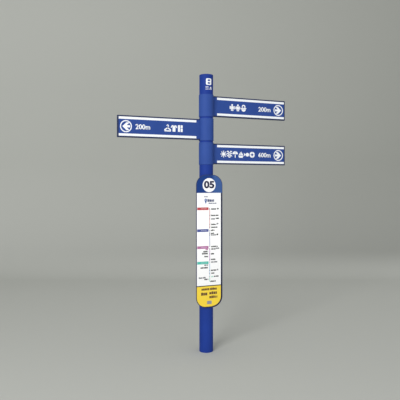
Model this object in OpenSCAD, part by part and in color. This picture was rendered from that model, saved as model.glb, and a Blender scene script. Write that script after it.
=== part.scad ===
// Direction sign on a round post. Three flat blades hang on slip-on collars near the top,
// and a tall information panel is strapped to the front of the post.
// Millimetres. The post stands on Z = 0 with its axis on Z, the blades lie along X,
// and the panel faces -Y.

/* [Post] */
// Height of the post with its cap
post_h = 2800; // [2600:10:3200]
// Outside diameter of the pipe
post_d = 139.8; // [127:0.1:159]
// Wall of the pipe
post_wall = 4.5; // [3.5:0.5:8]
// Rim of the cap that shows above the pipe
cap_lip = 4; // [4:0.5:10]
// Edge radius of the cap's rim
cap_edge = 3; // [1:0.5:3.5]
// Length of the cap's skirt inside the pipe
cap_skirt = 30; // [24:1:60]
// Wall of the cap's skirt
cap_wall = 6; // [5:0.5:10]

/* [Foot] */
// Depth of the socket that slides over the ground stub
socket_depth = 300; // [240:10:500]
// Wall of the machined sleeve that forms the socket
sleeve_wall = 7.65; // [4:0.05:12]
// Thickness of the stop ring above the sleeve
ring_t = 10; // [6:1:16]
// Hole in the stop ring
ring_hole_d = 60; // [40:1:80]
// Holes for the screws that lock the post on the stub
lock_hole_d = 13; // [9:0.5:18]

/* [Collars] */
// Height of one collar
collar_h = 224; // [214:1:260]
// Gap between two collars
collar_gap = 18; // [6:1:40]
// Underside of the lowest collar above the ground
collar_low_z = 1890; // [1820:5:1960]
// Wall of a collar
collar_wall = 4.8; // [4:0.2:8]
// Chamfer at the collar's two rims
collar_chamfer = 1.5; // [0.5:0.5:3]
// Rims of a collar to the middle of its set screws
set_screw_inset = 42; // [20:1:60]
// Depth of the hexagon socket in a set screw
set_socket = 2.5; // [1.5:0.5:3]

/* [Blades] */
// Height of a blade
blade_h = 210; // [190:1:212]
// Thickness of a blade
blade_t = 30; // [24:1:40]
// Far end of a blade from the post's axis
blade_reach = 915; // [600:5:1200]
// Skin of the hollow blade
blade_skin = 2.5; // [2.2:0.1:4]
// Corner radius of the blade's section
blade_corner = 3; // [2:0.5:5]
// Thickness of the ribs inside a blade
rib_t = 2; // [1.5:0.5:3]
// Plate that closes the far end
end_cap_t = 3; // [2.5:0.5:6]
// Blue edge outside a stripe
stripe_edge = 11; // [5:1:16]
// Height of a white stripe
stripe_h = 25; // [20:1:34]
// Start of the stripes from the post's axis
stripe_start = 114; // [100:1:180]
// Film of stripes, fields and disc
film_t = 0.3; // [0.2:0.1:0.6]

/* [Arms] */
// Length of an arm outside its collar
arm_len = 120; // [100:5:200]
// Plate of the arm behind the blade's rear skin
arm_plate = 6; // [5:0.5:8]
// Flanges and saddle of the arm
arm_flange = 8; // [6:0.5:12]
// Space between the two screws along the arm
arm_pitch = 50; // [40:1:60]
// End of the arm to its outer screws
arm_screw_inset = 20; // [12:1:30]

/* [Panel] */
// Width of the panel
panel_w = 282; // [262:1:340]
// Height of the panel
panel_h = 1326; // [1100:1:1390]
// Underside of the panel above the ground
panel_z = 459; // [420:1:480]
// Thickness of the plate
panel_t = 4; // [3:0.5:6]
// Corner radius of the plate
panel_corner = 105; // [60:1:125]
// Blue rim outside the films
panel_rim = 9; // [5:1:14]
// How far the films sit to the left of the panel's middle
film_shift = 3.5; // [0:0.5:4]
// Height of the blue header
header_h = 180; // [165:1:220]
// Height of the yellow footer with the rim under it
footer_h = 212; // [160:1:260]
// Diameter of the header's white disc
disc_d = 140; // [110:1:150]
// Top of the panel to the middle of the disc
disc_drop = 102; // [95:1:104]

/* [Panel fixings] */
// Height of a rail
rail_h = 40; // [34:1:60]
// Depth of a rail
rail_d = 10; // [9:0.5:16]
// Wall of a rail
rail_wall = 2; // [1.5:0.1:2]
// Length of a rail past the strap's ears, at each end
rail_past = 5; // [2:1:20]
// Ends of the panel to the middle of the outer rails
rail_inset = 160; // [140:5:260]
// Width of a strap
strap_w = 32; // [24:1:40]
// Thickness of a strap
strap_t = 2.5; // [2:0.5:4]
// Inside bend between a strap and its ears
strap_bend = 3; // [2:0.5:4]
// Width of an ear
ear_w = 28; // [24:1:32]
// Rubber between strap and post
liner_t = 1.5; // [1:0.5:3]

/* [Screws] */
// Cap screws
cap_screw_d = 6; // [5:1:8]
// Set screws of the collars
set_screw_d = 8; // [6:1:10]
// Screws between blade and arm
blade_screw_d = 5; // [4:0.5:5]
// Screws of the end caps
end_screw_d = 4.2; // [3.5:0.1:4.8]
// Strap bolts
strap_bolt_d = 8; // [6:1:8]
// Length of the screws in the end caps
end_screw_len = 13; // [10:1:25]
// Length of a screw past the wall that it is tapped into
screw_past = 2; // [1:0.5:3]
// Length of a strap bolt past its nut
bolt_past = 3; // [1:0.5:8]

/* [Fits] */
// Radial gap between collar and post
collar_fit = 0.3; // [0.2:0.1:1]
// Radial gap between the cap's skirt and the pipe
cap_fit = 0.4; // [0.2:0.1:1]
// Gap between a blade and its collar
cope_fit = 0.4; // [0.2:0.1:1]
// Gap between an arm and the blade around it
arm_fit = 0.5; // [0.3:0.1:1]
// Radial gap at a screw in its tapped hole
thread_fit = 0.05; // [0.03:0.01:0.1]
// Radial gap at a screw in a plain hole
hole_fit = 0.4; // [0.3:0.1:1]
// Depth to which flat heads and set screws sink below a round wall
head_sink = 0.5; // [0.3:0.1:1]
// Room for the bolt's head in the depth of its rail
head_room = 1; // [0.5:0.1:1.5]

/* [Hidden] */
$fn = 96;

post_blue = [0.15, 0.25, 0.58];
collar_blue = [0.24, 0.35, 0.65];
blade_blue = [0.20, 0.31, 0.58];
panel_blue = [0.13, 0.25, 0.54];
film_white = [0.96, 0.97, 0.98];
film_yellow = [0.97, 0.83, 0.18];
mill_grey = [0.66, 0.67, 0.69];
rubber_black = [0.08, 0.08, 0.09];
zinc_grey = [0.62, 0.64, 0.66];
steel_grey = [0.45, 0.46, 0.48];

// Overshoot of every cutting shape
cut = 1;

post_r = post_d / 2;
pipe_h = post_h - cap_lip;
bore_r = post_r - post_wall;
skirt_r = bore_r - cap_fit;

// A countersunk head is nearly twice as wide as its screw and has a 90 degree cone
head_ratio = 1.84;
function head_d(d) = d * head_ratio;
// Flats of the hexagon sockets in flat heads and set screws, over the screw's diameter
flat_head_key = 0.6;
set_screw_key = 0.5;
// Depth of a flat head's socket over the depth of its cone
key_depth = 0.8;

cap_screw_z = pipe_h - cap_skirt / 2;
cap_screw_len = post_wall + cap_fit + cap_wall + screw_past;
cap_screw_angles = [45, 135];

lock_hole_zs = [socket_depth / 3, socket_depth * 2 / 3];
lock_hole_angle = 90;

collar_bore_r = post_r + collar_fit;
collar_r = collar_bore_r + collar_wall;
set_screw_angles = [60, 120];
set_screw_end = collar_r - head_sink;
set_screw_z = collar_h / 2 - set_screw_inset;

// Lowest collar is level 0, the middle one 1 and the top one 2
function collar_z(level) = collar_low_z + level * (collar_h + collar_gap);
function collar_mid(level) = collar_z(level) + collar_h / 2;
points_left = [false, true, false];

// Inside of the blade: two ribs under the inner edges of the stripes, and a screw port near each edge
blade_body_end = blade_reach - end_cap_t;
blade_inside = blade_t - 2 * blade_skin;
rib_z = blade_h / 2 - stripe_edge - stripe_h - rib_t;
port_wall = 2;
port_z = (blade_h / 2 + rib_z) / 2;
port_bore_r = end_screw_d / 2 + thread_fit;
port_r = port_bore_r + port_wall;

arm_h = 2 * (rib_z - rib_t / 2 - arm_fit);
arm_rear = blade_inside / 2;
arm_depth = blade_inside - arm_fit;
arm_end = collar_r + arm_len;
arm_screw_xs = [arm_end - arm_screw_inset - arm_pitch, arm_end - arm_screw_inset];
arm_screw_z = arm_h / 4;
blade_screw_len = blade_skin + arm_plate + screw_past;

// Panel stack from the post forward: rail, plate, film
plate_back = post_r + rail_d;
plate_front = plate_back + panel_t;
panel_top = panel_z + panel_h;
panel_mid = panel_z + panel_h / 2;
field_top = panel_top - header_h;
field_bottom = panel_z + footer_h + panel_rim;

rail_zs = [panel_z + rail_inset, panel_mid, panel_top - rail_inset];
rail_slot = strap_bolt_d + 2 * hole_fit;

liner_r = post_r + liner_t;
strap_r = liner_r + strap_t;
bolt_x = strap_r + strap_bend + ear_w / 2;
ear_end = bolt_x + ear_w / 2;
rail_len = 2 * (ear_end + rail_past);

// T-head, washer and nut in the usual proportions to their bolt
bolt_head_t = rail_d - 2 * rail_wall - head_room;
bolt_head_w = 2 * strap_bolt_d;
bolt_head_h = rail_h / 2;
washer_t = 0.2 * strap_bolt_d;
washer_d = 2 * strap_bolt_d;
nut_t = 0.8 * strap_bolt_d;
nut_flats = 1.625 * strap_bolt_d;
bolt_len = rail_wall + strap_t + washer_t + nut_t + bolt_past;

// Rectangle with round corners about its centre
module round_rect(w, h, r) {
    square([w - 2 * r, h], center = true);
    square([w, h - 2 * r], center = true);
    for (x = [-1, 1], y = [-1, 1])
        translate([x * (w / 2 - r), y * (h / 2 - r)]) circle(r = r);
}

// Lays a section drawn in Y and Z along X
module along_x(from, to) {
    translate([from, 0, 0]) rotate([90, 0, 90]) linear_extrude(to - from) children();
}

// Stands an outline drawn in X and Z up at depth y, with its thickness towards -Y
module upright(y, t) {
    translate([0, -y, 0]) rotate([90, 0, 0]) linear_extrude(t) children();
}

// Points local Z outwards from the post at an angle and a height
module radial(angle, z) {
    translate([0, 0, z]) rotate([0, 0, angle]) rotate([0, 90, 0]) children();
}

// Puts what is drawn for a right-hand blade at its level, on its side
module at_level(level) {
    translate([0, 0, collar_mid(level)])
        if (points_left[level]) mirror([1, 0, 0]) children(); else children();
}

// Hexagon socket cut down from Z = 0
module hex_socket(flats, depth) {
    translate([0, 0, -depth]) cylinder(h = depth + cut, d = flats / cos(30), $fn = 6);
}

// Countersunk screw along Z with its flat head at Z = 0
module csk_screw(d, len) {
    cone = (head_d(d) - d) / 2;
    difference() {
        union() {
            translate([0, 0, -cone]) cylinder(h = cone, d1 = d, d2 = head_d(d));
            translate([0, 0, -len]) cylinder(h = len - cone, d = d);
        }
        hex_socket(d * flat_head_key, cone * key_depth);
    }
}

// The countersunk screw's plain hole through a wall
module csk_hole(d, wall) {
    hole_d = d + 2 * hole_fit;
    cone = (head_d(d) - hole_d) / 2;
    translate([0, 0, -wall - cut]) cylinder(h = wall + cut, d = hole_d);
    translate([0, 0, -cone]) cylinder(h = cone, d1 = hole_d, d2 = head_d(d));
    cylinder(h = cut, d = head_d(d));
}

// Tapped hole cut down from Z = 0
module tapped_hole(d, depth) {
    translate([0, 0, -depth]) cylinder(h = depth + cut, d = d + 2 * thread_fit);
}

// Tube along Z with its foot at Z = 0
module pipe(h, outer, inner) {
    difference() {
        cylinder(h = h, r = outer);
        translate([0, 0, -cut]) cylinder(h = h + 2 * cut, r = inner);
    }
}

// Holes through post and sleeve for the screws into the ground stub
module lock_holes() {
    for (z = lock_hole_zs)
        radial(lock_hole_angle, z) cylinder(h = post_r + cut, d = lock_hole_d);
}

module post_tube() {
    color(post_blue) difference() {
        pipe(pipe_h, post_r, bore_r);
        for (a = cap_screw_angles)
            radial(a, cap_screw_z) translate([0, 0, post_r - head_sink])
                csk_hole(cap_screw_d, post_wall);
        lock_holes();
    }
}

module post_cap() {
    color(post_blue) difference() {
        translate([0, 0, pipe_h]) rotate_extrude() {
            square([post_r, cap_lip - cap_edge]);
            square([post_r - cap_edge, cap_lip]);
            translate([post_r - cap_edge, cap_lip - cap_edge]) intersection() {
                circle(r = cap_edge);
                square(cap_edge);
            }
            translate([skirt_r - cap_wall, -cap_skirt]) square([cap_wall, cap_skirt]);
        }
        for (a = cap_screw_angles)
            radial(a, cap_screw_z) translate([0, 0, skirt_r])
                tapped_hole(cap_screw_d, cap_wall + cut);
    }
}

module cap_screws() {
    color(zinc_grey) for (a = cap_screw_angles)
        radial(a, cap_screw_z) translate([0, 0, post_r - head_sink])
            csk_screw(cap_screw_d, cap_screw_len);
}

// Sleeve welded in the foot, which slides over the ground stub
module foot_sleeve() {
    color(steel_grey) difference() {
        pipe(socket_depth, bore_r, bore_r - sleeve_wall);
        lock_holes();
    }
}

// Stop that the stub meets
module foot_ring() {
    color(steel_grey) translate([0, 0, socket_depth]) pipe(ring_t, bore_r, ring_hole_d / 2);
}

module collar(level) {
    color(collar_blue) difference() {
        translate([0, 0, collar_z(level)]) rotate_extrude() polygon([
            [collar_bore_r, 0],
            [collar_r - collar_chamfer, 0],
            [collar_r, collar_chamfer],
            [collar_r, collar_h - collar_chamfer],
            [collar_r - collar_chamfer, collar_h],
            [collar_bore_r, collar_h]]);
        for (a = set_screw_angles, z = [-1, 1])
            radial(a, collar_mid(level) + z * set_screw_z) translate([0, 0, collar_r])
                tapped_hole(set_screw_d, collar_wall + cut);
    }
}

// Set screws press on the post through the collar's wall
module collar_screws() {
    color(steel_grey) for (level = [0 : 2], a = set_screw_angles, z = [-1, 1])
        radial(a, collar_mid(level) + z * set_screw_z) difference() {
            translate([0, 0, post_r])
                cylinder(h = set_screw_end - post_r, d = set_screw_d);
            translate([0, 0, set_screw_end])
                hex_socket(set_screw_d * set_screw_key, set_socket);
        }
}

// Channel arm: a saddle on the collar, a plate behind the rear skin and two flanges
module arm(level) {
    color(mill_grey) at_level(level) difference() {
        union() {
            along_x(0, arm_end) translate([arm_rear - arm_plate, -arm_h / 2])
                square([arm_plate, arm_h]);
            for (z = [-arm_h / 2, arm_h / 2 - arm_flange])
                along_x(0, arm_end) translate([arm_rear - arm_depth, z])
                    square([arm_depth, arm_flange]);
            along_x(0, collar_r + arm_flange) translate([arm_rear - arm_depth, -arm_h / 2])
                square([arm_depth, arm_h]);
        }
        cylinder(h = arm_h + 2 * cut, r = collar_r, center = true);
        arm_screw_places() translate([0, 0, arm_rear]) tapped_hole(blade_screw_d, arm_plate + cut);
    }
}

// Places of the screws between blade and arm, with local Z along +Y from the blade's mid-plane
module arm_screw_places() {
    for (x = arm_screw_xs, z = [-1, 1])
        translate([x, 0, z * arm_screw_z]) rotate([-90, 0, 0]) children();
}

// Section of the hollow blade: skins, two ribs and two screw ports on short stems
module blade_section() {
    difference() {
        union() {
            difference() {
                round_rect(blade_t, blade_h, blade_corner);
                square([blade_inside, blade_h - 2 * blade_skin], center = true);
            }
            for (z = [-1, 1]) {
                translate([0, z * rib_z])
                    square([blade_inside + blade_skin, rib_t], center = true);
                translate([0, z * port_z]) circle(r = port_r);
                translate([0, z * (port_z + blade_h / 2 - blade_skin / 2) / 2])
                    square([rib_t, blade_h / 2 - blade_skin / 2 - port_z], center = true);
            }
        }
        for (z = [-1, 1]) translate([0, z * port_z]) circle(r = port_bore_r);
    }
}

module blade(level) {
    color(blade_blue) at_level(level) difference() {
        along_x(collar_bore_r, blade_body_end) blade_section();
        cylinder(h = blade_h + 2 * cut, r = collar_r + cope_fit, center = true);
        arm_screw_places() translate([0, 0, blade_t / 2]) csk_hole(blade_screw_d, blade_skin);
    }
}

module blade_screws() {
    color(zinc_grey) for (level = [0 : 2]) at_level(level)
        arm_screw_places() translate([0, 0, blade_t / 2])
            csk_screw(blade_screw_d, blade_screw_len);
}

module end_cap(level) {
    color(blade_blue) at_level(level) difference() {
        along_x(blade_body_end, blade_reach) round_rect(blade_t, blade_h, blade_corner);
        for (z = [-1, 1]) translate([blade_reach, 0, z * port_z]) rotate([0, 90, 0])
            csk_hole(end_screw_d, end_cap_t);
    }
}

module end_cap_screws() {
    color(zinc_grey) for (level = [0 : 2]) at_level(level)
        for (z = [-1, 1]) translate([blade_reach, 0, z * port_z]) rotate([0, 90, 0])
            csk_screw(end_screw_d, end_screw_len);
}

// Two white stripes on each face of a blade
module stripes(level) {
    color(film_white) at_level(level) for (face = [-1, 1], edge = [-1, 1])
        translate([stripe_start,
                   face * (blade_t + film_t) / 2 - film_t / 2,
                   edge * (blade_h - stripe_h) / 2 - edge * stripe_edge - stripe_h / 2])
            cube([blade_reach - stripe_edge - stripe_start, film_t, stripe_h]);
}

// Outline of the plate, or of a film that leaves a rim
module panel_outline(rim) {
    translate([0, panel_mid]) round_rect(panel_w - 2 * rim, panel_h - 2 * rim, panel_corner - rim);
}

// Film over the panel between two heights
module panel_film(from, to) {
    upright(plate_front, film_t) translate([-film_shift, 0]) intersection() {
        panel_outline(panel_rim);
        translate([-panel_w / 2, from]) square([panel_w, to - from]);
    }
}

module panel_plate() {
    color(panel_blue) upright(plate_back, panel_t) panel_outline(0);
}

module field_film() {
    color(film_white) panel_film(field_bottom, field_top);
}

module footer_film() {
    color(film_yellow) panel_film(panel_z, panel_z + footer_h);
}

module disc_film() {
    color(film_white) upright(plate_front, film_t)
        translate([-film_shift, panel_top - disc_drop]) circle(d = disc_d);
}

// Slotted rail along X, open towards the post
module rail(index) {
    color(mill_grey) translate([0, 0, rail_zs[index]])
        along_x(-rail_len / 2, rail_len / 2) difference() {
            translate([-plate_back, -rail_h / 2]) square([rail_d, rail_h]);
            translate([rail_wall - plate_back, rail_wall - rail_h / 2])
                square([rail_d - 2 * rail_wall, rail_h - 2 * rail_wall]);
            translate([-post_r - rail_wall - cut, -rail_slot / 2])
                square([rail_wall + 2 * cut, rail_slot]);
        }
}

// Bent strap seen from above: half round behind the post, straight legs and two ears
module strap_shape() {
    difference() {
        union() {
            rear_half(strap_r) circle(r = strap_r);
            translate([-strap_r, -post_r]) square([2 * strap_r, post_r]);
            translate([-ear_end, -post_r]) square([2 * ear_end, strap_t]);
            for (s = [-1, 1]) translate([s * (strap_r + strap_bend / 2), strap_t - post_r])
                translate([-strap_bend / 2, 0]) square(strap_bend);
        }
        rear_half(strap_r) circle(r = liner_r);
        translate([-liner_r, -post_r - cut]) square([2 * liner_r, post_r + cut]);
        for (s = [-1, 1]) translate([s * (strap_r + strap_bend), strap_t + strap_bend - post_r])
            circle(r = strap_bend);
    }
}

// Keeps what lies behind the post's axis
module rear_half(reach) {
    intersection() {
        children();
        translate([-reach, 0]) square([2 * reach, reach]);
    }
}

module bolt_places() {
    for (x = [-1, 1], z = rail_zs)
        translate([x * bolt_x, -post_r, z]) rotate([-90, 0, 0]) children();
}

module strap(index) {
    color(post_blue) difference() {
        translate([0, 0, rail_zs[index] - strap_w / 2]) linear_extrude(strap_w) strap_shape();
        bolt_places() translate([0, 0, -cut])
            cylinder(h = strap_t + 2 * cut, d = strap_bolt_d + 2 * hole_fit);
    }
}

// Rubber strip round the rear half of the post
module liner(index) {
    color(rubber_black) translate([0, 0, rail_zs[index] - strap_w / 2]) linear_extrude(strap_w)
        rear_half(liner_r) difference() {
            circle(r = liner_r);
            circle(r = post_r);
        }
}

// T-head inside the rail, shank through slot, ear, washer and nut
module strap_bolts() {
    color(zinc_grey) bolt_places() {
        translate([-bolt_head_w / 2, -bolt_head_h / 2, -rail_wall - bolt_head_t])
            cube([bolt_head_w, bolt_head_h, bolt_head_t]);
        translate([0, 0, -rail_wall]) cylinder(h = bolt_len, d = strap_bolt_d);
    }
}

module strap_washers() {
    color(zinc_grey) bolt_places() translate([0, 0, strap_t]) difference() {
        cylinder(h = washer_t, d = washer_d);
        translate([0, 0, -cut])
            cylinder(h = washer_t + 2 * cut, d = strap_bolt_d + 2 * hole_fit);
    }
}

module strap_nuts() {
    color(zinc_grey) bolt_places() translate([0, 0, strap_t + washer_t]) difference() {
        cylinder(h = nut_t, d = nut_flats / cos(30), $fn = 6);
        translate([0, 0, -cut])
            cylinder(h = nut_t + 2 * cut, d = strap_bolt_d + 2 * thread_fit);
    }
}

post_tube();
post_cap();
cap_screws();
foot_sleeve();
foot_ring();
collar(2);  // collar_top
collar(1);  // collar_middle
collar(0);  // collar_bottom
collar_screws();
arm(2);  // arm_top
arm(1);  // arm_middle
arm(0);  // arm_bottom
blade(2);  // blade_top
blade(1);  // blade_middle
blade(0);  // blade_bottom
blade_screws();
end_cap(2);  // end_cap_top
end_cap(1);  // end_cap_middle
end_cap(0);  // end_cap_bottom
end_cap_screws();
stripes(2);  // stripes_top
stripes(1);  // stripes_middle
stripes(0);  // stripes_bottom
panel_plate();
field_film();
footer_film();
disc_film();
rail(2);  // rail_upper
rail(1);  // rail_middle
rail(0);  // rail_lower
strap(2);  // strap_upper
strap(1);  // strap_middle
strap(0);  // strap_lower
liner(2);  // liner_upper
liner(1);  // liner_middle
liner(0);  // liner_lower
strap_bolts();
strap_washers();
strap_nuts();
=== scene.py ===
# Direction sign on a round post. The CAD frame gets its finishes here, and the thin things that it
# leaves out are added: the print and the panel's edge trim. All axes are the frame's. Camera, stage and
# lights are set in metres; pieces, prints and patterns in millimetres.
import bmesh
import bpy
import math
import random
from mathutils import Matrix, Vector


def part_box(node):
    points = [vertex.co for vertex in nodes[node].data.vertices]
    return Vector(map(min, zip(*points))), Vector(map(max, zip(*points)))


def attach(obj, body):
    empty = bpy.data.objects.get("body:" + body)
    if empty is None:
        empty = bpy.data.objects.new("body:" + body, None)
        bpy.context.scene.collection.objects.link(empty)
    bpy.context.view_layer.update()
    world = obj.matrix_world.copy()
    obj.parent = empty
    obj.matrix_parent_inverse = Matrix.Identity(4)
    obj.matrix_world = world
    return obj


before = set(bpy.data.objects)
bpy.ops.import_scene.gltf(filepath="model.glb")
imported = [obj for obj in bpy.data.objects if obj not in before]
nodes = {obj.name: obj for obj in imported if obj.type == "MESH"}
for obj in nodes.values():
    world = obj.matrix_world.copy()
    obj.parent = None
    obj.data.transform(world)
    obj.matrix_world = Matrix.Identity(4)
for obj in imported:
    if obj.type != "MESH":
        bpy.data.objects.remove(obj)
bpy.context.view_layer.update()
mm = 0.001
print("frame loaded with", len(nodes), "nodes")


# camera
cameraSet = {
    "place": (-1.967, -4.700, 1.684),  # a standing adult's eye, left of the panel
    "turn": -22.0,                     # degrees from straight ahead, level
    "lens": 45.09,
    "sensor": 36.0,
    "shiftUp": -0.0375,                # lifts the horizon without tilting the post
}


def createCamera(sets):
    data = bpy.data.cameras.new("camera")
    data.lens = sets["lens"]
    data.sensor_width = sets["sensor"]
    data.shift_y = sets["shiftUp"]
    camera = bpy.data.objects.new("camera", data)
    camera.location = sets["place"]
    camera.rotation_euler = (math.radians(90), 0, math.radians(sets["turn"]))
    bpy.context.scene.collection.objects.link(camera)
    bpy.context.scene.camera = camera


createCamera(cameraSet)
print("camera placed")


# small helpers for objects and materials
def linearColour(hexValue):
    # sRGB hex to the linear values that the sockets take
    channels = [int(hexValue[i:i + 2], 16) / 255 for i in (1, 3, 5)]
    linear = [c / 12.92 if c <= 0.04045 else ((c + 0.055) / 1.055) ** 2.4 for c in channels]
    return (*linear, 1.0)


colourMix = {"data_type": "RGBA"}  # on such a Mix, 0 is the factor, 6 and 7 the colours, 2 the output


def addNode(tree, kind, settings=None, inputs=None):
    # one node with its settings; an input is a value, or (node, output) for a link
    node = tree.nodes.new("ShaderNode" + kind)
    for name, value in (settings or {}).items():
        setattr(node, name, value)
    for name, value in (inputs or {}).items():
        if isinstance(value, tuple) and isinstance(value[0], bpy.types.Node):
            tree.links.new(value[0].outputs[value[1]], node.inputs[name])
        else:
            node.inputs[name].default_value = value
    return node


def startMaterial(name, surface):
    # an empty material with its shader, and the object's own coordinates for patterns
    material = bpy.data.materials.new(name)
    material.use_nodes = True
    tree = material.node_tree
    tree.nodes.clear()
    shader = addNode(tree, "BsdfPrincipled", inputs=surface)
    addNode(tree, "OutputMaterial", inputs={"Surface": (shader, "BSDF")})
    place = addNode(tree, "TexCoord")
    return material, tree, shader, place


def finishMesh(name, bm, materials, slot=None):
    # a bmesh whose place is in its points becomes a piece; with a slot, it rides on the frame
    mesh = bpy.data.meshes.new(name)
    bm.to_mesh(mesh)
    bm.free()
    piece = bpy.data.objects.new(name, mesh)
    bpy.context.scene.collection.objects.link(piece)
    for material in materials:
        mesh.materials.append(material)
    if slot:
        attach(piece, "root")
    return piece


# finishes
def powderCoat(name, look):
    # Polyester powder baked on metal: even colour, a soft gloss and a faint orange peel
    material, tree, shader, place = startMaterial(name, {
        "Roughness": look["roughness"],
        "IOR": 1.5,
        "Specular IOR Level": look["specular"],
    })
    cloud = addNode(tree, "TexNoise", inputs={
        "Vector": (place, "Object"), "Scale": 1 / (look["cloud"] * mm), "Detail": 2.0})
    share = addNode(tree, "MapRange", inputs={
        "Value": (cloud, "Fac"), "From Min": 0.3, "From Max": 0.7})
    colour = addNode(tree, "Mix", colourMix, {
        0: (share, "Result"), 6: linearColour(look["thin"]), 7: linearColour(look["thick"])})
    tree.links.new(colour.outputs[2], shader.inputs["Base Color"])
    peel = addNode(tree, "TexNoise", inputs={
        "Vector": (place, "Object"), "Scale": 1 / (look["peel"] * mm), "Detail": 1.0})
    bump = addNode(tree, "Bump", inputs={
        "Height": (peel, "Fac"), "Strength": look["peelStrength"], "Distance": 0.2 * mm})
    tree.links.new(bump.outputs["Normal"], shader.inputs["Normal"])
    return material


# cloud: slow drift of the colour; peel: the orange peel's waves
coats = {
    "post": {"thin": "#1D398B", "thick": "#1B3583", "roughness": 0.6, "specular": 0.12,
             "cloud": 180, "peel": 3.0, "peelStrength": 0.2},
    "collar": {"thin": "#314D94", "thick": "#2E498E", "roughness": 0.6, "specular": 0.12,
               "cloud": 120, "peel": 2.5, "peelStrength": 0.2},
    "blade": {"thin": "#2E4A8F", "thick": "#2A4589", "roughness": 0.6, "specular": 0.12,
              "cloud": 150, "peel": 2.5, "peelStrength": 0.2},
}

# painted shade: a darker colour along the blades' edges
bladeEdgeShade = {
    "colour": "#283254",
    "shadeOnFilm": 2.5,    # how far the painted edge shade reaches onto the stripes' film
}


def paintOver(tree, shader, mask, colour):
    # a second colour laid over what the shader has wherever the mask is 1
    socket = shader.inputs["Base Color"]
    cover = addNode(tree, "Mix", colourMix, {0: mask, 7: colour})
    tree.links.new(socket.links[0].from_socket, cover.inputs[6])
    tree.links.new(cover.outputs[2], socket)


def addPaintedEdgeShade(material, look, inset=0):
    # Painted shade along the blades' edges, where the rounded edges turn from the light; it outlines each
    # blade, and on the film it reaches in by the inset.
    # One blade's height range is repeated at the pitch of the three blades.
    tree = material.node_tree
    shader = tree.nodes["Principled BSDF"]
    low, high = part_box("stripes_top")
    nextLow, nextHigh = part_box("stripes_bottom")
    middle = (low.z + high.z) / 2
    pitch = (middle - (nextLow.z + nextHigh.z) / 2) / 2
    axes = addNode(tree, "SeparateXYZ", inputs={"Vector": (tree.nodes["Texture Coordinate"], "Object")})
    level = addNode(tree, "Math", {"operation": "WRAP"}, {
        0: (axes, "Z"), 1: middle + pitch / 2, 2: middle - pitch / 2})
    above = addNode(tree, "Math", {"operation": "COMPARE"}, {
        0: (level, "Value"), 1: middle, 2: high.z - middle - inset * mm})
    across = addNode(tree, "Math", {"operation": "COMPARE"}, {0: (axes, "X"), 1: 0.0, 2: high.x})
    inside = addNode(tree, "Math", {"operation": "MULTIPLY"}, {0: (above, "Value"), 1: (across, "Value")})
    outside = addNode(tree, "Math", {"operation": "SUBTRACT"}, {0: 1.0, 1: (inside, "Value")})
    paintOver(tree, shader, (outside, "Value"), linearColour(look["colour"]))


headerPaint = {
    "deep": "#16397B",
    "light": "#3A5992",
    "rim": "#10152E",
    "fadeFrom": 20,    # right of the post's axis
    "fadeTo": 62,
    "roughness": 0.5,
    "specular": 0.12,
    "peel": 4.0,
    "peelStrength": 0.12,
}


def panelLacquer(look):
    # Sprayed lacquer on aluminium plate: a soft sheen, a header that fades to a lighter blue and a
    # dark rim that frames the films
    material, tree, shader, place = startMaterial("panelLacquer", {
        "Roughness": look["roughness"], "IOR": 1.5, "Specular IOR Level": look["specular"]})
    plateLow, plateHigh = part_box("panel_plate")
    axes = addNode(tree, "SeparateXYZ", inputs={"Vector": (place, "Object")})
    fade = addNode(tree, "MapRange", {"interpolation_type": "SMOOTHSTEP"}, {
        "Value": (axes, "X"), "From Min": look["fadeFrom"] * mm, "From Max": look["fadeTo"] * mm})
    front = addNode(tree, "Math", {"operation": "LESS_THAN"}, {
        0: (axes, "Y"), 1: (plateLow.y + plateHigh.y) / 2})
    share = addNode(tree, "Math", {"operation": "MULTIPLY"}, {0: (fade, "Result"), 1: (front, "Value")})
    header = addNode(tree, "Mix", colourMix, {
        0: (share, "Value"), 6: linearColour(look["deep"]), 7: linearColour(look["light"])})
    tree.links.new(header.outputs[2], shader.inputs["Base Color"])
    below = addNode(tree, "Math", {"operation": "LESS_THAN"}, {
        0: (axes, "Z"), 1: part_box("field_film")[1].z})
    rim = addNode(tree, "Math", {"operation": "MULTIPLY"}, {0: (below, "Value"), 1: (front, "Value")})
    paintOver(tree, shader, (rim, "Value"), linearColour(look["rim"]))
    wave = addNode(tree, "TexNoise", inputs={
        "Vector": (place, "Object"), "Scale": 1 / (look["peel"] * mm), "Detail": 0.0})
    bump = addNode(tree, "Bump", inputs={
        "Height": (wave, "Fac"), "Strength": look["peelStrength"], "Distance": 0.2 * mm})
    tree.links.new(bump.outputs["Normal"], shader.inputs["Normal"])
    return material


def reflectiveSheeting(name, look):
    # White prismatic sign sheeting: bright and flat, with a honeycomb of sealed cells
    material, tree, shader, place = startMaterial(name, {
        "Roughness": look["roughness"], "IOR": 1.5, "Coat Weight": 0.4, "Coat Roughness": 0.1})
    cells = addNode(tree, "TexVoronoi", {"feature": "DISTANCE_TO_EDGE"}, {
        "Vector": (place, "Object"), "Scale": 1 / (look["cell"] * mm), "Randomness": 0.15})
    seal = addNode(tree, "MapRange", inputs={
        "Value": (cells, "Distance"), "From Min": 0.02, "From Max": 0.07})
    colour = addNode(tree, "Mix", colourMix, {
        0: (seal, "Result"), 6: linearColour(look["seal"]), 7: linearColour(look["white"])})
    tree.links.new(colour.outputs[2], shader.inputs["Base Color"])
    bump = addNode(tree, "Bump", inputs={
        "Height": (seal, "Result"), "Strength": 0.15, "Distance": 0.05 * mm})
    tree.links.new(bump.outputs["Normal"], shader.inputs["Normal"])
    return material


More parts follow.
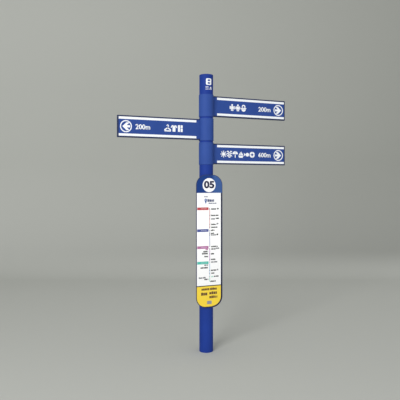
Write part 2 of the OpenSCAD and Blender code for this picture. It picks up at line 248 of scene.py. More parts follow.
def castFilm(name, look):
    # Cast vinyl under a clear laminate: flat colour, a smooth skin and slight ripples from the squeegee
    material, tree, shader, place = startMaterial(name, {
        "Roughness": look["roughness"], "IOR": 1.46, "Coat Weight": 0.35, "Coat Roughness": 0.15})
    stretch = addNode(tree, "Mapping", inputs={
        "Vector": (place, "Object"), "Scale": (1.0, 1.0, 0.2)})
    ripple = addNode(tree, "TexNoise", inputs={
        "Vector": (stretch, "Vector"), "Scale": 1 / (look["ripple"] * mm), "Detail": 1.0})
    colour = addNode(tree, "Mix", colourMix, {
        0: (ripple, "Fac"), 6: linearColour(look["dark"]), 7: linearColour(look["pale"])})
    tree.links.new(colour.outputs[2], shader.inputs["Base Color"])
    bump = addNode(tree, "Bump", inputs={
        "Height": (ripple, "Fac"), "Strength": 0.1, "Distance": 0.1 * mm})
    tree.links.new(bump.outputs["Normal"], shader.inputs["Normal"])
    return material


inkLook = {
    "roughness": 0.5,
    "grain": 0.8,      # coarser than the real 0.1, which wouldn't show
    "dense": 0.9,      # share of the colour's brightness where the ink lies thick
    "thin": 1.06,      # and where it lies thin
}


def solventInk(name, colourHex, look=inkLook):
    # Solvent ink printed on the film: a dense flat colour that dulls the gloss, with a fine grain
    material, tree, shader, place = startMaterial(name, {"Roughness": look["roughness"], "IOR": 1.5})
    grain = addNode(tree, "TexNoise", inputs={
        "Vector": (place, "Object"), "Scale": 1 / (look["grain"] * mm), "Detail": 1.0})
    share = addNode(tree, "MapRange", inputs={
        "Value": (grain, "Fac"), "From Min": 0.3, "From Max": 0.7,
        "To Min": look["dense"], "To Max": look["thin"]})
    shade = addNode(tree, "HueSaturation", inputs={
        "Value": (share, "Result"), "Color": linearColour(colourHex)})
    tree.links.new(shade.outputs["Color"], shader.inputs["Base Color"])
    return material


def extrudedAluminium(name, look):
    # Aluminium pressed through a die: bare grey metal with fine draw lines along its length
    material, tree, shader, place = startMaterial(name, {"Metallic": 1.0})
    along = addNode(tree, "Mapping", inputs={
        "Vector": (place, "Object"), "Scale": (0.02, 1.0, 1.0)})
    lines = addNode(tree, "TexNoise", inputs={
        "Vector": (along, "Vector"), "Scale": 1 / (look["line"] * mm), "Detail": 3.0})
    colour = addNode(tree, "Mix", colourMix, {
        0: (lines, "Fac"), 6: linearColour(look["dark"]), 7: linearColour(look["pale"])})
    tree.links.new(colour.outputs[2], shader.inputs["Base Color"])
    rough = addNode(tree, "MapRange", inputs={
        "Value": (lines, "Fac"), "To Min": look["roughFrom"], "To Max": look["roughTo"]})
    tree.links.new(rough.outputs["Result"], shader.inputs["Roughness"])
    bump = addNode(tree, "Bump", inputs={
        "Height": (lines, "Fac"), "Strength": 0.2, "Distance": 0.03 * mm})
    tree.links.new(bump.outputs["Normal"], shader.inputs["Normal"])
    return material


def platedSteel(name, look):
    # Zinc or black oxide on turned steel: cool grey, with a mild sparkle of crystals
    material, tree, shader, place = startMaterial(name, {"Metallic": 1.0})
    crystals = addNode(tree, "TexVoronoi", {"feature": "F1"}, {
        "Vector": (place, "Object"), "Scale": 1 / (look["crystal"] * mm)})
    tone = addNode(tree, "SeparateColor", inputs={"Color": (crystals, "Color")})
    colour = addNode(tree, "Mix", colourMix, {
        0: (tone, "Red"), 6: linearColour(look["dark"]), 7: linearColour(look["pale"])})
    tree.links.new(colour.outputs[2], shader.inputs["Base Color"])
    rough = addNode(tree, "MapRange", inputs={
        "Value": (tone, "Green"), "To Min": look["roughFrom"], "To Max": look["roughTo"]})
    tree.links.new(rough.outputs["Result"], shader.inputs["Roughness"])
    return material


def brushedPrimer(name, look):
    # Shop primer brushed on inside the foot: dull, a little uneven in colour
    material, tree, shader, place = startMaterial(name, {"Roughness": look["roughness"], "IOR": 1.5})
    strokes = addNode(tree, "TexNoise", inputs={
        "Vector": (place, "Object"), "Scale": 1 / (look["stroke"] * mm), "Detail": 4.0})
    colour = addNode(tree, "Mix", colourMix, {
        0: (strokes, "Fac"), 6: linearColour(look["dark"]), 7: linearColour(look["pale"])})
    tree.links.new(colour.outputs[2], shader.inputs["Base Color"])
    bump = addNode(tree, "Bump", inputs={
        "Height": (strokes, "Fac"), "Strength": 0.3, "Distance": 0.1 * mm})
    tree.links.new(bump.outputs["Normal"], shader.inputs["Normal"])
    return material


def pressedRubber(name, look):
    # EPDM strip cut from sheet: matt black with a fine pressed grain
    material, tree, shader, place = startMaterial(name, {"Roughness": look["roughness"], "IOR": 1.5})
    grain = addNode(tree, "TexNoise", inputs={
        "Vector": (place, "Object"), "Scale": 1 / (look["grain"] * mm), "Detail": 2.0})
    colour = addNode(tree, "Mix", colourMix, {
        0: (grain, "Fac"), 6: linearColour(look["dark"]), 7: linearColour(look["pale"])})
    tree.links.new(colour.outputs[2], shader.inputs["Base Color"])
    bump = addNode(tree, "Bump", inputs={
        "Height": (grain, "Fac"), "Strength": 0.4, "Distance": 0.1 * mm})
    tree.links.new(bump.outputs["Normal"], shader.inputs["Normal"])
    return material


postCoat = powderCoat("postPowderCoat", coats["post"])
collarCoat = powderCoat("collarSatinPowderCoat", coats["collar"])
bladeCoat = powderCoat("bladeSatinPowderCoat", coats["blade"])
# painted shade along the blades' edges
addPaintedEdgeShade(bladeCoat, bladeEdgeShade)
plateLacquer = panelLacquer(headerPaint)

sheeting = {"white": "#EFF2F5", "seal": "#DDE2E9", "cell": 4.0, "roughness": 0.4}
whiteSheeting = reflectiveSheeting("whitePrismaticSheeting", sheeting)
# the stripes' film carries the same painted edge shade along its rim
stripeSheeting = reflectiveSheeting("edgeShadedPrismaticSheeting", sheeting)
addPaintedEdgeShade(stripeSheeting, bladeEdgeShade, bladeEdgeShade["shadeOnFilm"])

# The patterns' sizes are those of the squeegee's ripples, the die's lines and the brush's strokes; the
# plating's crystals and the rubber's grain are drawn coarser than the real ones, which wouldn't show
whiteFilm = castFilm("whiteLaminatedVinyl", {
    "pale": "#F4F4F4", "dark": "#EEEFF0", "ripple": 90, "roughness": 0.35})
yellowFilm = castFilm("yellowLaminatedVinyl", {
    "pale": "#F1D231", "dark": "#EBCA2B", "ripple": 90, "roughness": 0.35})
millAluminium = extrudedAluminium("millFinishAluminium", {
    "dark": "#A3A5A8", "pale": "#C2C4C7", "line": 0.6, "roughFrom": 0.28, "roughTo": 0.48})
zincPlate = platedSteel("brightZincPlatedSteel", {
    "dark": "#A9ADB3", "pale": "#C9CCD2", "crystal": 1.2, "roughFrom": 0.22, "roughTo": 0.38})
blackSteel = platedSteel("blackOxideSteel", {
    "dark": "#2B2C2F", "pale": "#3C3E42", "crystal": 0.8, "roughFrom": 0.35, "roughTo": 0.5})
shopPrimer = brushedPrimer("brushedShopPrimer", {
    "dark": "#5C5F63", "pale": "#777A7E", "stroke": 12, "roughness": 0.75})
stripRubber = pressedRubber("epdmRubberStrip", {
    "dark": "#131314", "pale": "#232325", "grain": 0.6, "roughness": 0.8})

finishes = {
    postCoat: ["post_tube", "post_cap", "strap_upper", "strap_middle", "strap_lower"],
    collarCoat: ["collar_top", "collar_middle", "collar_bottom"],
    bladeCoat: ["blade_top", "blade_middle", "blade_bottom",
                "end_cap_top", "end_cap_middle", "end_cap_bottom"],
    plateLacquer: ["panel_plate"],
    stripeSheeting: ["stripes_top", "stripes_middle", "stripes_bottom"],
    whiteFilm: ["field_film", "disc_film"],
    yellowFilm: ["footer_film"],
    millAluminium: ["arm_top", "arm_middle", "arm_bottom", "rail_upper", "rail_middle", "rail_lower"],
    zincPlate: ["cap_screws", "blade_screws", "end_cap_screws",
                "strap_bolts", "strap_washers", "strap_nuts"],
    blackSteel: ["collar_screws"],
    shopPrimer: ["foot_sleeve", "foot_ring"],
    stripRubber: ["liner_upper", "liner_middle", "liner_lower"],
}


def dressNodes(wanted):
    for material, names in wanted.items():
        for name in names:
            node = nodes[name]
            node.data.materials.clear()
            node.data.materials.append(material)


dressNodes(finishes)
print("finishes on", sum(len(names) for names in finishes.values()), "nodes")


# Flat print. Shapes are drawn in millimetres, u to the right and v up, on a plane that faces the
# reader, then get the thickness of the film and move on to the face that carries them.
samePoint = 0.001   # points of a drawing that are nearer than this are one
cutOn = 0.0001      # a point this near a cut lies on it


def addDisc(bm, u, v, radius, segments=40):
    bmesh.ops.create_circle(
        bm, cap_ends=True, segments=segments, radius=radius, matrix=Matrix.Translation((u, v, 0)))


def addBar(bm, u, v, width, height, corner=0, angle=0):
    place = Matrix.Translation((u, v, 0)) @ Matrix.Rotation(math.radians(angle), 4, "Z")
    made = bmesh.ops.create_grid(
        bm, x_segments=1, y_segments=1, size=0.5, matrix=place @ Matrix.Diagonal((width, height, 1, 1)))
    if corner:
        bmesh.ops.bevel(
            bm, geom=made["verts"], offset=corner, segments=4, profile=0.5, affect="VERTICES",
            material=-1)


def addArc(bm, u, v, outer, inner, start=0, sweep=360, steps=48):
    # a band round a centre, from a start angle, counted against the clock
    direction = Matrix.Rotation(math.radians(start), 3, "Z") @ Vector((1, 0, 0))
    centre = Vector((u, v, 0))
    ends = [bm.verts.new(centre + direction * radius) for radius in (inner, outer)]
    edge = bm.edges.new(ends)
    bmesh.ops.spin(
        bm, geom=[*ends, edge], cent=centre, axis=(0, 0, 1), angle=math.radians(sweep),
        steps=steps, use_merge=sweep == 360)


def addOutline(bm, u, v, points):
    bm.faces.new([bm.verts.new((u + x, v + y, 0)) for x, y in points])


drawers = {"disc": addDisc, "bar": addBar, "arc": addArc, "outline": addOutline}


def drawShapes(bm, shapes, u=0, v=0):
    for kind, x, y, *rest in shapes:
        drawers[kind](bm, u + x, v + y, *rest)


def thicken(bm, depth):
    # flat faces become closed solids that stand proud by the print's thickness
    bmesh.ops.remove_doubles(bm, verts=bm.verts[:], dist=samePoint)
    flat = bm.faces[:] + bm.edges[:] + bm.verts[:]
    made = bmesh.ops.extrude_face_region(bm, geom=flat, use_keep_orig=True)
    moved = [item for item in made["geom"] if isinstance(item, bmesh.types.BMVert)]
    bmesh.ops.translate(bm, verts=moved, vec=(0, 0, depth))
    bmesh.ops.recalc_face_normals(bm, faces=bm.faces[:])


def joinInto(bm, part, place=Matrix.Identity(4), index=0):
    # adds a finished part to a piece, with the material slot that it uses
    for face in part.faces:
        face.material_index = index
    part.transform(place)
    carrier = bpy.data.meshes.new("carrier")
    part.to_mesh(carrier)
    part.free()
    bm.from_mesh(carrier)
    bpy.data.meshes.remove(carrier)


def textPart(words, width, height, weight):
    # plain numerals from the built-in font, fitted to a box about the centre
    data = bpy.data.curves.new("numerals", "FONT")
    data.body = words
    data.offset = weight
    data.resolution_u = 6
    carrier = bpy.data.objects.new("numerals", data)
    bpy.context.scene.collection.objects.link(carrier)
    bpy.context.view_layer.update()
    mesh = bpy.data.meshes.new_from_object(carrier.evaluated_get(bpy.context.evaluated_depsgraph_get()))
    part = bmesh.new()
    part.from_mesh(mesh)
    bpy.data.objects.remove(carrier)
    bpy.data.curves.remove(data)
    bpy.data.meshes.remove(mesh)
    low = Vector([min(vert.co[axis] for vert in part.verts) for axis in range(3)])
    high = Vector([max(vert.co[axis] for vert in part.verts) for axis in range(3)])
    part.transform(Matrix.Translation(-(low + high) / 2))
    size = high - low
    part.transform(Matrix.Diagonal((width / size.x, height / size.y, 1, 1)))
    return part


def frontFace(level, z):
    # from the drawing plane to a face that looks along -Y at depth level
    return (Matrix.Translation((0, level, z)) @ Matrix.Rotation(math.radians(90), 4, "X")
            @ Matrix.Scale(mm, 4))


def rearFace(level, z):
    # the same for a face that looks along +Y
    return Matrix.Rotation(math.radians(180), 4, "Z") @ frontFace(-level, z)


print("print tools ready")


# blade print
arrowShape = {
    "ringOuter": 57.5,
    "ringStroke": 10,
    "tip": 35,        # from the ring's middle
    "barb": 37,       # half the head's height
    "barbBack": 4,    # the barbs end this far behind the ring's middle
    "tail": 40,
    "shaft": 10.5,    # half the shaft's thickness
    "barbWidth": 31,
}

bladePrint = {
    "thickness": 0.15,
    "arrowAt": 834,   # distances from the post's axis
    "numberAt": 667,
    "numberSize": (147, 50),
    "numberWeight": 0.03,
    "markPitch": 66,
    "blades": {
        "top": {"points": 1, "number": "200m", "marksAt": 351, "marks": ["man", "woman", "basin"]},
        "middle": {"points": -1, "number": "200m", "marksAt": 351,
                   "marks": ["hanger", "shirt", "locker"]},
        "bottom": {"points": 1, "number": "600m", "marksAt": 353,
                   "marks": ["sun", "waves", "parasol", "boat", "fish", "buoy"]},
    },
}

rays = [i * math.pi / 4 for i in range(8)]
roundSteps = [i * math.pi / 12 for i in range(24)]

# Each mark is a few bold shapes in a cell about 62 wide and 70 high, with small gaps like a stencil's.
# A shape is its drawer's name, its place from the middle of the cell and that drawer's other values.
markShapes = {
    "man": [("disc", 0, 26, 10),
            ("bar", 0, -1, 28, 30, 5), ("bar", -22.5, 0, 12, 32, 4), ("bar", 22.5, 0, 12, 32, 4),
            ("bar", -7.5, -26, 12, 16, 2), ("bar", 7.5, -26, 12, 16, 2)],
    "woman": [("disc", 0, 26, 10),
              ("outline", 0, 0, [(-10, 14), (-20, -18), (20, -18), (10, 14)]),
              ("bar", -22, 2, 11, 30, 4, -18), ("bar", 22, 2, 11, 30, 4, 18),
              ("bar", -7.5, -28, 12, 14, 2), ("bar", 7.5, -28, 12, 14, 2)],
    "basin": [("bar", 0, -3, 62, 11, 3), ("arc", 0, -11, 25, 0.5, 180, 180, 20),
              ("arc", 0, 15, 21, 9, 0, 180, 20), ("bar", 15, 9, 12, 10, 0), ("bar", -15, 10, 12, 8, 0)],
    "hanger": [("arc", 0, 22, 13, 5, -70, 250, 20), ("bar", 0, 6, 9, 9, 0),
               ("bar", -16, -8, 44, 12, 4, 34), ("bar", 16, -8, 44, 12, 4, -34),
               ("bar", 0, -28, 66, 11, 4)],
    "shirt": [("outline", 0, 0, [(-15, 31), (-8, 31), (0, 20), (8, 31), (15, 31), (15, -33), (-15, -33)]),
              ("bar", -23, 17, 11, 26, 3, -30), ("bar", 23, 17, 11, 26, 3, 30)],
    "locker": [("bar", -14, 0, 21, 66, 2), ("bar", 14, 19, 21, 28, 2), ("bar", 14, -16, 21, 34, 2)],
    "sun": [("disc", 0, 0, 18),
            *[("bar", 28 * math.cos(a), 28 * math.sin(a), 14, 9, 2, math.degrees(a)) for a in rays]],
    "waves": [("arc", x, y, 13.5, 4.5, start, 180, 14)
              for y in (22, 0, -22) for x, start in ((-18, 0), (0, 180), (18, 0))],
    "parasol": [("arc", 1.5, 2, 30, 0.5, 0, 90, 16), ("arc", -1.5, 2, 30, 0.5, 90, 90, 16),
                ("bar", 0, -18, 9, 32, 2)],
    "boat": [("outline", 0, 0, [(-31, -13), (31, -13), (20, -34), (-20, -34)]),
             ("outline", 0, 0, [(2, 34), (2, -9), (28, -9)]),
             ("outline", 0, 0, [(-3, 28), (-26, -9), (-3, -9)])],
    "fish": [("outline", 0, 0, [(21 * math.cos(a) + 9, 19 * math.sin(a)) for a in roundSteps]),
             ("outline", 0, 0, [(-11, 0), (-30, 20), (-30, -20)])],
    "buoy": [("arc", 0, 0, 31, 12, start, 80, 14) for start in (5, 95, 185, 275)],
}


def arrowShapes(look):
    # a ring, and an arrow to the right whose head has swept barbs
    slope = (look["tip"] + look["barbBack"]) / look["barb"]
    inner = look["tip"] - slope * look["shaft"] - look["barbWidth"]
    outer = -look["barbBack"]
    upper = [(outer, look["barb"]), (outer - look["barbWidth"], look["barb"]),
             (inner, look["shaft"]), (-look["tail"], look["shaft"])]
    lower = [(x, -y) for x, y in reversed(upper)]
    return [("arc", 0, 0, look["ringOuter"], look["ringOuter"] - look["ringStroke"], 0, 360, 72),
            ("outline", 0, 0, [(look["tip"], 0), *upper, *lower])]


def bladeFacePart(look, blade, hand):
    # print for one face; hand is 1 where the blade runs to the reader's right
    flat = bmesh.new()
    arrow = bmesh.new()
    drawShapes(arrow, arrowShapes(arrowShape))
    if hand < 0:
        arrow.transform(Matrix.Rotation(math.radians(180), 4, "Z"))
    joinInto(flat, arrow, Matrix.Translation((hand * look["arrowAt"], 0, 0)))
    number = textPart(blade["number"], *look["numberSize"], look["numberWeight"])
    joinInto(flat, number, Matrix.Translation((hand * look["numberAt"], 0, 0)))
    pitch = look["markPitch"]
    start = hand * blade["marksAt"] - pitch * (len(blade["marks"]) - 1) / 2
    for i, mark in enumerate(blade["marks"]):
        drawShapes(flat, markShapes[mark], u=start + i * pitch)
    thicken(flat, look["thickness"])
    return flat


def createBladePrint(look):
    for name, blade in look["blades"].items():
        low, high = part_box("blade_" + name)
        middle = (low.z + high.z) / 2
        piece = bmesh.new()
        joinInto(piece, bladeFacePart(look, blade, blade["points"]), frontFace(low.y, middle))
        joinInto(piece, bladeFacePart(look, blade, -blade["points"]), rearFace(high.y, middle))
        finishMesh("blade_print_" + name, piece, [whiteSheeting], slot="stripe_film")


createBladePrint(bladePrint)
print("blade print done")


# number on the post
postPrint = {
    # right half of a squared 8 with two openings; the left one is its mirror image
    "half": [(0, 33), (21, 33), (28, 28), (30, 22), (30, 6), (28, 0), (30, -6), (30, -22), (28, -28),
             (21, -33), (0, -33), (0, -22), (10, -22), (13, -19), (13, -9), (10, -6), (0, -6),
             (0, 6), (10, 6), (13, 9), (13, 19), (10, 22), (0, 22)],
    "numberZ": 2722,
    # a list and a peak, the marks of a walking route
    "marks": [("bar", -19, 13, 31, 4), ("bar", -19, 0, 31, 4), ("bar", -19, -13, 31, 4),
              ("outline", 19, 0, [(5, 17), (-12, -5), (15, -5)]), ("bar", 19, -13, 31, 4)],
    "marksZ": 2659,
    "thickness": 0.15,
    "step": 3.0,      # width of the strips that the print is cut into before it is bent
}


def wrapOnPost(bm, z, radius):
    # bends a flat drawing round the post's front, and its thickness outwards
    for vert in bm.verts:
        angle = vert.co.x / radius
        reach = radius + vert.co.z
        vert.co = Vector((math.sin(angle) * reach, -math.cos(angle) * reach, z + vert.co.y)) * mm


def cutFine(bm, step):
    # slices the drawing into upright strips, so that it can follow the curve
    low = min(vert.co.x for vert in bm.verts)
    high = max(vert.co.x for vert in bm.verts)
    for i in range(1, int((high - low) / step)):
        bmesh.ops.bisect_plane(
            bm, geom=bm.faces[:] + bm.edges[:] + bm.verts[:], plane_co=(low + i * step, 0, 0),
            plane_no=(1, 0, 0), dist=cutOn)


def createPostPrint(look):
    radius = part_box("post_tube")[1].y / mm
    mirrored = [(-x, y) for x, y in reversed(look["half"])]
    number = [("outline", 0, 0, look["half"]), ("outline", 0, 0, mirrored)]
    piece = bmesh.new()
    for shapes, z in ((number, look["numberZ"]), (look["marks"], look["marksZ"])):
        flat = bmesh.new()
        drawShapes(flat, shapes)
        cutFine(flat, look["step"])
        thicken(flat, look["thickness"])
        wrapOnPost(flat, z, radius)
        joinInto(piece, flat)
    finishMesh("post_print", piece, [whiteSheeting], slot="stripe_film")


createPostPrint(postPrint)
print("post number done")


# panel print
inks = {
    "navy": solventInk("navySolventInk", "#12133F"),
    "soot": solventInk("sootSolventInk", "#17181B"),
    "grey": solventInk("greySolventInk", "#5E6068"),
    "red": solventInk("redSolventInk", "#B5353E"),
    "blue": solventInk("blueSolventInk", "#30428F"),
    "pink": solventInk("pinkSolventInk", "#AC6896"),
    "teal": solventInk("tealSolventInk", "#3FB5A6"),
    "paleRed": solventInk("paleRedSolventInk", "#D9ABAC"),
    "lavender": solventInk("lavenderSolventInk", "#B0B3CE"),
    "lilac": solventInk("lilacSolventInk", "#CDA9D2"),
    "paleBlue": solventInk("paleBlueSolventInk", "#AFC8DE"),
    "paleGreen": solventInk("paleGreenSolventInk", "#A9D3C5"),
    "brown": solventInk("brownSolventInk", "#5C3B10"),
    "stone": solventInk("stoneSolventInk", "#8D8B90"),
    "slate": solventInk("slateSolventInk", "#454C70"),
    "sky": solventInk("skySolventInk", "#2C559C"),
}
inkNames = list(inks)
inkThickness = 0.12

fieldPrint = {
    "barFrom": -132,
    "barTo": -10,
    "barHeight": 27,
    "barCorner": 2,
    "barRow": (-92, -28, 6),   # start, end and height of the row of blocks on each bar
    "lineAt": 2.5,
    "lineWidth": 9,
    # bars: height above the ground and the ink of their row
    "bars": {"red": (1447, "paleRed"), "blue": (1230, "lavender"), "pink": (1061, "lilac"),
             "teal": (907, "paleGreen")},
    # the route line's stretches, from the lower to the upper end
    "line": {"paleRed": (1247, 1440), "lavender": (1072, 1222), "lilac": (921, 1053),
             "paleBlue": (775, 899), "paleGreen": (716, 760)},
    "bend": 13,       # the route turns from the red bar into the line
    "rowHeight": 15,
    # rows of blocks: height above the ground, start, end and ink
    "rows": [
        (1443, 19, 73, "soot"), (1379, 16, 98, "soot"), (1344, 19, 64, "grey"), (1349, 70, 109, "soot"),
        (1289, 19, 74, "soot"), (1295, 79, 97, "grey"), (1260, 19, 88, "soot"), (1230, 16, 57, "soot"),
        (1198, 16, 54, "soot"), (1183, 19, 75, "grey"), (1067, 19, 90, "soot"), (1042, 21, 66, "soot"),
        (1047, 70, 106, "grey"), (994, 16, 54, "soot"), (938, 16, 69, "soot"), (912, 16, 85, "grey"),
        (829, 16, 78, "soot"), (832, 82, 97, "grey"), (800, 21, 53, "soot"), (765, 19, 44, "paleGreen"),
        (767, 49, 102, "soot"), (719, 10, 70, "soot"),
        (1041, -42, -14, "pink"), (1019, -67, -15, "soot"), (999, -80, -15, "soot"),
        (970, -55, -15, "soot"), (884, -55, -15, "grey"), (858, -97, -15, "soot"),
        (759, -115, -37, "grey"), (742, -55, -12, "soot"),
    ],
    "stops": [1443, 1379, 1346, 1289, 1260, 1230, 1198, 1183, 1067, 1042, 994, 938, 912, 829, 800, 767],
    "stopRadius": 5.5,
    "stopHole": 2.5,
    "endMarks": [(92, 1446), (87, 1187)],   # dots after two of the rows
    "endMarkRadius": 9,
    "rightEdgeShade": 3.5,   # painted shade: a dark line along the film's right edge, the side turned from the light
}

# a map pin, with rows of blocks beside and above it
pinMark = {
    "pinAt": (-40, 1534),
    "pinRadius": 14,
    "pinHole": 0.35,            # shares of the radius
    "pinShoulder": (0.8, 0.85),
    "pinTip": 40,               # below the middle of the pin's head
    "rows": [(1529, -22, 50, 27, "slate"), (1501, -8, 76, 12, "slate"), (1567, -56, -18, 10, "slate")],
}

footerPrint = {
    "rows": [(643, -86, 80, 23), (597, -90, -17, 30), (602, -1, 86, 28), (562, -1, 86, 25)],
    "square": (-1, 508, 50, 33),
    # painted shade along the film's right edge and lower right corner
    "rightEdgeShade": 3.5,
    "corner": 96,     # the film's own corner
}

headerPrint = {"number": "05", "size": (113, 75), "weight": 0.045, "up": 5}

blocks = {
    "group": (2, 5),                  # fewest and most blocks in a group
    "width": (0.45, 0.8),             # shares of the row's height
    "tall": (0.85, 0.9, 0.9, 1.0),
    "gap": 0.09,
    "groupGap": 0.3,
    "smallest": 2,                    # no block starts nearer to the row's end
}


def addBlockRow(bm, start, end, v, height, look=blocks):
    # a row of small blocks in groups, none of them a letter; each row has its own seed
    pick = random.Random(round(v * 7 + start))
    u = start
    left = pick.randint(*look["group"])
    while u < end - look["smallest"]:
        width = pick.uniform(*look["width"]) * height
        tall = height * pick.choice(look["tall"])
        width = min(width, end - u)
        addBar(bm, u + width / 2, v + (tall - height) / 2, width, tall)
        left -= 1
        u += width + look["gap" if left else "groupGap"] * height
        if left == 0:
            left = pick.randint(*look["group"])


def addInk(piece, shapes, ink, level, lift=0.0, rows=()):
    # shapes, and rows given by height above the ground, start, end and block height, in one ink
    flat = bmesh.new()
    drawShapes(flat, shapes)
    for z, start, end, height in rows:
        addBlockRow(flat, start, end, z, height)
    thicken(flat, inkThickness)
    flat.transform(Matrix.Translation((0, 0, lift)))
    joinInto(piece, flat, frontFace(level, 0), inkNames.index(ink))


def addPinMark(piece, look, level):
    u, z = look["pinAt"]
    radius = look["pinRadius"]
    side, drop = (radius * share for share in look["pinShoulder"])
    pin = [("arc", u, z, radius, radius * look["pinHole"], 0, 360, 32),
           ("outline", u, z, [(-side, -drop), (0, -look["pinTip"]), (side, -drop)])]
    addInk(piece, pin, "sky", level)
    for z, start, end, height, ink in look["rows"]:
        addInk(piece, [], ink, level, rows=[(z, start, end, height)])


def createFieldPrint(look):
    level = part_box("field_film")[0].y
    piece = bmesh.new()
    barWidth = look["barTo"] - look["barFrom"]
    barMiddle = (look["barTo"] + look["barFrom"]) / 2
    for ink, (z, rowInk) in look["bars"].items():
        bar = ("bar", barMiddle, z, barWidth, look["barHeight"], look["barCorner"])
        addInk(piece, [bar], ink, level)
        addInk(piece, [], rowInk, level, inkThickness, [(z, *look["barRow"])])
    width = look["lineWidth"]
    for ink, (low, high) in look["line"].items():
        addInk(piece, [("bar", look["lineAt"], (low + high) / 2, width, high - low)], ink, level)
    turn = look["bend"]
    top = look["line"]["paleRed"][1]
    addInk(piece, [("arc", look["lineAt"] + width / 2 - turn, top, turn, turn - width, 0, 90, 12)],
           "paleRed", level)
    for ink in ("soot", "grey", "pink", "paleGreen"):
        rows = [(z, start, end, look["rowHeight"]) for z, start, end, name in look["rows"] if name == ink]
        marks = []
        if ink == "soot":
            marks = [("disc", u, z, look["endMarkRadius"]) for u, z in look["endMarks"]]
        addInk(piece, marks, ink, level, rows=rows)
    stops = [("arc", look["lineAt"], z, look["stopRadius"], look["stopHole"], 0, 360, 20)
             for z in look["stops"]]
    addInk(piece, stops, "grey", level, inkThickness)
    # painted shade: a dark line along the field film's right edge
    low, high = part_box("field_film")
    edge = look["rightEdgeShade"]
    addInk(piece, [("bar", high.x / mm - edge / 2, (low.z + high.z) / 2 / mm, edge,
                    (high.z - low.z) / mm)], "navy", level)
    addPinMark(piece, pinMark, level)
    finishMesh("field_print", piece, inks.values(), slot="field_print")


def createFooterPrint(look):
    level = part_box("footer_film")[0].y
    piece = bmesh.new()
    u, z, width, height = look["square"]
    low, high = (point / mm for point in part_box("footer_film"))
    # painted shade: a dark line along the footer film's right edge and round its lower right corner
    edge = look["rightEdgeShade"]
    corner = look["corner"]
    straight = high.z - low.z - corner
    rightEdgeShade = [("bar", high.x - edge / 2, low.z + corner + straight / 2, edge, straight),
               ("arc", high.x - corner, low.z + corner, corner, corner - edge, -90, 90, 16)]
    addInk(piece, rightEdgeShade, "navy", level)
    addInk(piece, [], "brown", level, rows=look["rows"])
    addInk(piece, [("bar", u, z, width, height)], "stone", level)
    finishMesh("footer_print", piece, inks.values(), slot="footer_print")


def createHeaderPrint(look):
    low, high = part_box("disc_film")
    middle = (low + high) / 2
    number = textPart(look["number"], *look["size"], look["weight"])
    thicken(number, inkThickness)
    number.transform(Matrix.Translation((middle.x / mm, look["up"], 0)))
    piece = bmesh.new()
    joinInto(piece, number, frontFace(low.y, middle.z))
    finishMesh("header_number", piece, [inks["navy"]], slot="stripe_film")


createFieldPrint(fieldPrint)
createFooterPrint(footerPrint)
createHeaderPrint(headerPrint)
print("panel print done")


# edge trim of the panel
panelTrim = {
    "wall": 1.2,       # outside the plate's edge, and over its front and back
    "lip": 3.5,        # how far the front and back lips reach over the plate
    "corner": 105,     # the plate's own corner
    "segments": 20,
    "dark": "#141E45",
    "pale": "#1C2B5E",
    "wave": 30,
}


def softTrim(look):
    # PVC edge profile pushed on the plate: dark, half matt, with a faint wave from being bent by hand
    material, tree, shader, place = startMaterial("navyPvcEdgeTrim", {"Roughness": 0.55, "IOR": 1.52})
    wave = addNode(tree, "TexNoise", inputs={
        "Vector": (place, "Object"), "Scale": 1 / (look["wave"] * mm), "Detail": 1.0})
    colour = addNode(tree, "Mix", colourMix, {
        0: (wave, "Fac"), 6: linearColour(look["dark"]), 7: linearColour(look["pale"])})
    bump = addNode(tree, "Bump", inputs={"Height": (wave, "Fac"), "Strength": 0.2, "Distance": 0.3 * mm})
    tree.links.new(colour.outputs[2], shader.inputs["Base Color"])
    tree.links.new(bump.outputs["Normal"], shader.inputs["Normal"])
    return material


def createPanelTrim(look):
    # a ring of the plate's outline whose inner field is taken out, drawn flat and then made thick
    low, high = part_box("panel_plate")
    size = (high - low) / mm
    wall = look["wall"]
    ring = bmesh.new()
    made = bmesh.ops.create_grid(
        ring, x_segments=1, y_segments=1, size=0.5,
        matrix=Matrix.Diagonal((size.x + 2 * wall, size.z + 2 * wall, 1, 1)))
    bmesh.ops.bevel(
        ring, geom=made["verts"], offset=look["corner"] + wall, segments=look["segments"], profile=0.5,
        affect="VERTICES", material=-1)
    field = ring.faces[:]
    bmesh.ops.inset_individual(ring, faces=field, thickness=wall + look["lip"], use_even_offset=True)
    bmesh.ops.delete(ring, geom=field, context="FACES")
    thicken(ring, size.y + 2 * wall)
    middle = (low + high) / 2
    place = frontFace(high.y + wall * mm, middle.z) @ Matrix.Translation((middle.x / mm, 0, 0))
    piece = bmesh.new()
    joinInto(piece, ring, place)
    finishMesh("panel_trim", piece, [softTrim(look)], slot="panel_paint")


createPanelTrim(panelTrim)
print("panel trim done")


# stage and light
stageSet = {
    "turn": -22.0,        # faces the camera
    "floorTo": -9.0,
    "wallAt": 5.9,        # behind the post
    "cove": 2.2,
    "coveSegments": 24,
    "height": 9.0,
    "halfWidth": 13.0,
    "reach": 4.6,         # the painted light and shade run from this far left of the camera's axis to as far right
    # left and right colours of floor and wall: painted light and shade across the paper
    "floorLeft": "#B9BBB5",
    "floorRight": "#C8CAC4",
    "wallLeft": "#C0C2BC",
    "wallRight": "#AAACA6",
    "wallFrom": 0.0,      # heights over which the floor's colour goes over into the wall's
    "wallTo": 0.4,
    "shadeTo": 5.0,       # up to here the wall is a little deeper: painted shade
    "wallShade": 0.93,
    "nearAt": -1.2,       # towards the camera the floor is a little deeper: painted shade
    "farAt": 2.5,
    "nearShade": 0.91,
}

lightSet = {
    "key": {"place": (-6.5, -6.0, 4.4), "aim": (0, 0, 1.4), "size": (4.2, 4.2), "power": 600},
    "fill": {"place": (1.5, -6.5, 0.7), "aim": (0, 0, 0.7), "size": (4.0, 1.2), "power": 70},
}
worldSet = {"colour": "#FFFFFF", "strength": 0.57}


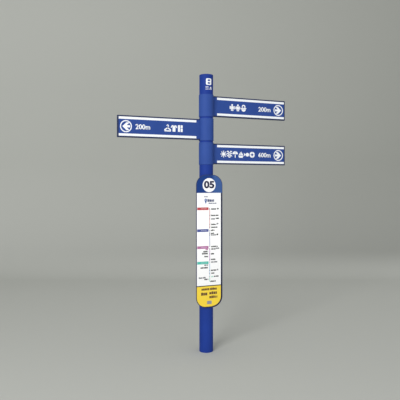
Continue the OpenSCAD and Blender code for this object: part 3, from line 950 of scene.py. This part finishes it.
def backdropPaper(look):
    # Seamless matt paper with painted light and shade: a wall that deepens to the right and down to the
    # floor, and a floor that deepens to the left and towards the camera
    material, tree, shader, place = startMaterial("backdropPaperPaintedShade", {"Roughness": 0.9})
    turned = addNode(tree, "Mapping", inputs={
        "Vector": (place, "Object"), "Rotation": (0, 0, math.radians(-look["turn"]))})
    axes = addNode(tree, "SeparateXYZ", inputs={"Vector": (turned, "Vector")})
    across = addNode(tree, "MapRange", inputs={
        "Value": (axes, "X"), "From Min": -look["reach"], "From Max": look["reach"]})
    up = addNode(tree, "MapRange", {"interpolation_type": "SMOOTHSTEP"}, {
        "Value": (axes, "Z"), "From Min": look["wallFrom"], "From Max": look["wallTo"]})
    floor = addNode(tree, "Mix", colourMix, {
        0: (across, "Result"), 6: linearColour(look["floorLeft"]), 7: linearColour(look["floorRight"])})
    wall = addNode(tree, "Mix", colourMix, {
        0: (across, "Result"), 6: linearColour(look["wallLeft"]), 7: linearColour(look["wallRight"])})
    near = addNode(tree, "MapRange", inputs={
        "Value": (axes, "Y"), "From Min": look["nearAt"], "From Max": look["farAt"],
        "To Min": look["nearShade"], "To Max": 1.0})
    low = addNode(tree, "MapRange", inputs={
        "Value": (axes, "Z"), "From Min": look["wallTo"], "From Max": look["shadeTo"],
        "To Min": look["wallShade"], "To Max": 1.0})
    floorShade = addNode(tree, "HueSaturation", inputs={"Value": (near, "Result"), "Color": (floor, 2)})
    wallShade = addNode(tree, "HueSaturation", inputs={"Value": (low, "Result"), "Color": (wall, 2)})
    colour = addNode(tree, "Mix", colourMix, {
        0: (up, "Result"), 6: (floorShade, "Color"), 7: (wallShade, "Color")})
    tree.links.new(colour.outputs[2], shader.inputs["Base Color"])
    return material


def createStage(look):
    bm = bmesh.new()
    profile = [bm.verts.new((-look["halfWidth"], y, z)) for y, z in (
        (look["floorTo"], 0), (look["wallAt"], 0), (look["wallAt"], look["height"]))]
    for pair in zip(profile, profile[1:]):
        bm.edges.new(pair)
    bmesh.ops.bevel(
        bm, geom=[profile[1]], offset=look["cove"], segments=look["coveSegments"], profile=0.5,
        affect="VERTICES", material=-1)
    made = bmesh.ops.extrude_edge_only(bm, edges=bm.edges[:])
    moved = [item for item in made["geom"] if isinstance(item, bmesh.types.BMVert)]
    bmesh.ops.translate(bm, verts=moved, vec=(2 * look["halfWidth"], 0, 0))
    bm.transform(Matrix.Rotation(math.radians(look["turn"]), 4, "Z"))
    bmesh.ops.recalc_face_normals(bm, faces=bm.faces[:])
    for face in bm.faces:
        face.smooth = True
    finishMesh("backdrop", bm, [backdropPaper(look)])


def createLight(name, look):
    data = bpy.data.lights.new(name, "AREA")
    data.shape = "RECTANGLE"
    data.size, data.size_y = look["size"]
    data.energy = look["power"]
    lamp = bpy.data.objects.new(name, data)
    lamp.location = look["place"]
    lamp.rotation_euler = (Vector(look["aim"]) - lamp.location).to_track_quat("-Z", "Y").to_euler()
    lamp.visible_camera = False
    bpy.context.scene.collection.objects.link(lamp)


def createWorld(look):
    world = bpy.data.worlds.new("studio")
    world.use_nodes = True
    background = world.node_tree.nodes["Background"]
    background.inputs["Color"].default_value = linearColour(look["colour"])
    background.inputs["Strength"].default_value = look["strength"]
    bpy.context.scene.world = world


createStage(stageSet)
for name, look in lightSet.items():
    createLight(name, look)
createWorld(worldSet)
bpy.context.scene.view_settings.view_transform = "Standard"  # colours as they are set
print("stage and lights done")
